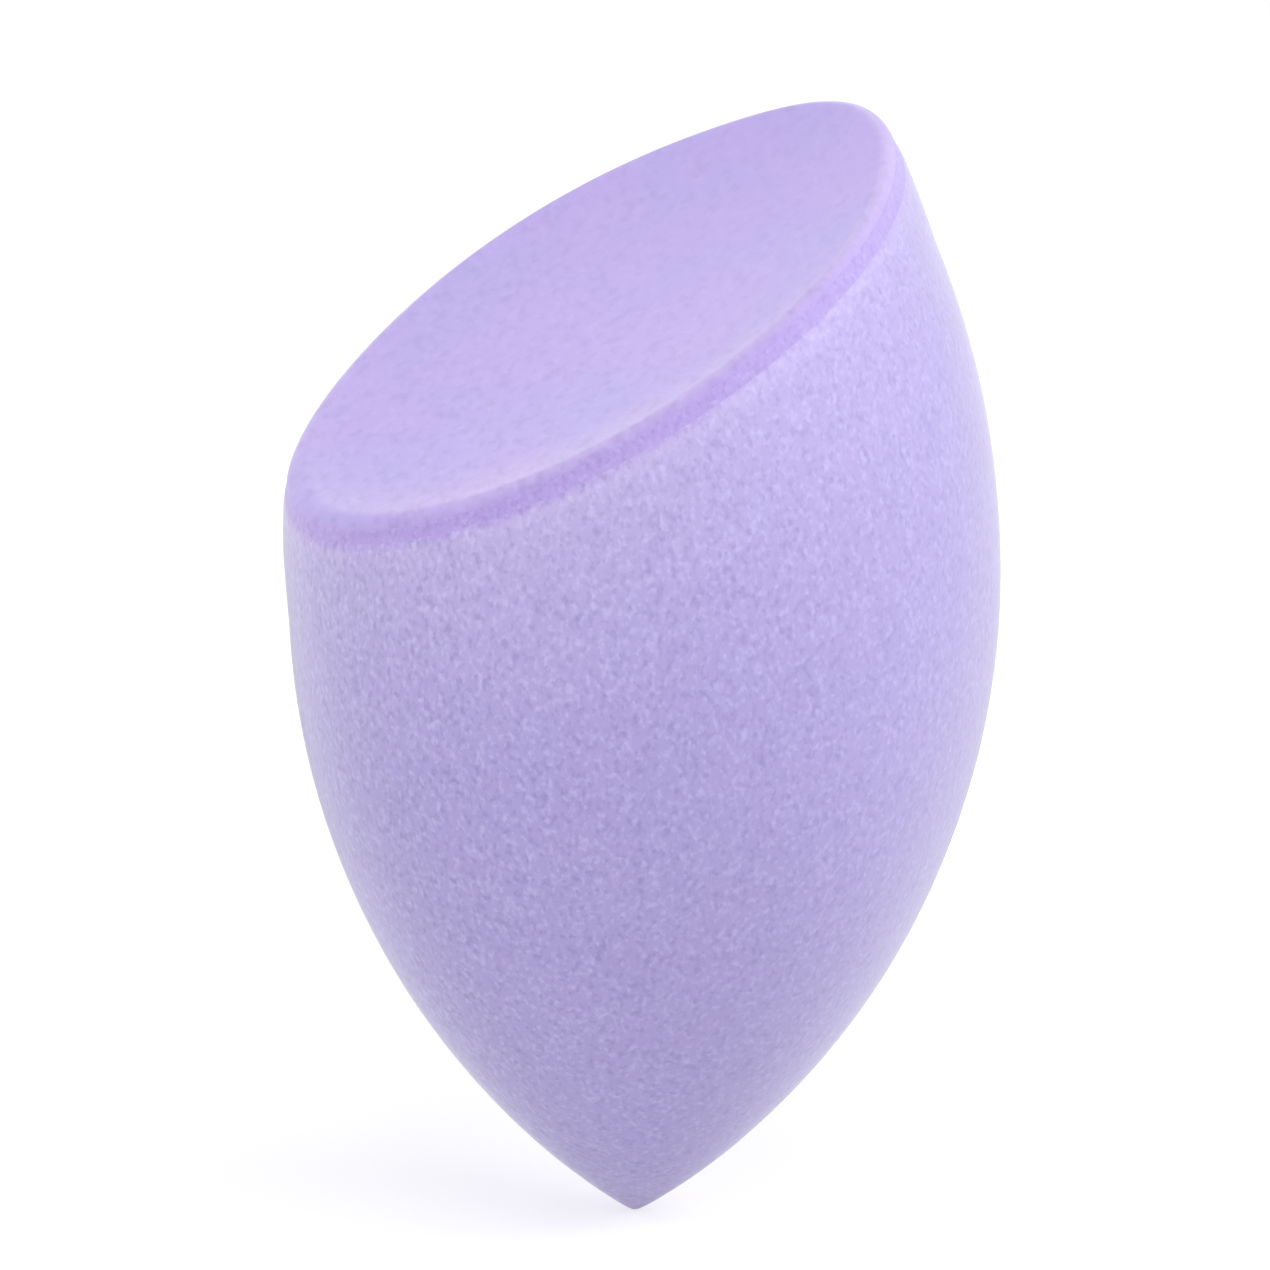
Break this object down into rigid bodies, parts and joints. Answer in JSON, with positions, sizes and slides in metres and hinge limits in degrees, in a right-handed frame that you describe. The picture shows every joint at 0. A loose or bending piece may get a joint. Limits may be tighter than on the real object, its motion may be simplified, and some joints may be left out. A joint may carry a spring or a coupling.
{
  "type": "makeup sponge",
  "caption": "Pointed round foam makeup sponge with a velvety side skin and a smooth slanted face edged by a sunk seam, for dabbing and blending liquid or powder on skin.",
  "frame": {"origin": "the point of the tip, on the body's axis", "axes": "+Z from the tip up the body's axis, +X towards the high side of the slanted face"},
  "size_m": [0.04, 0.04, 0.0626],
  "materials": {
    "foam": "open-cell foam, matt",
    "velvet_skin": "fine-pored velvety foam skin, matt with a soft sheen",
    "seam": "pressed and bonded foam, matt, a little pinker than the rest",
    "smooth_skin": "smooth moulded foam skin, matt"
  },
  "bodies": {
    "root": {"foam_core": "foam", "side_skin": "velvet_skin", "seam_band": "seam", "face_skin": "smooth_skin"}
  },
  "joints": []
}
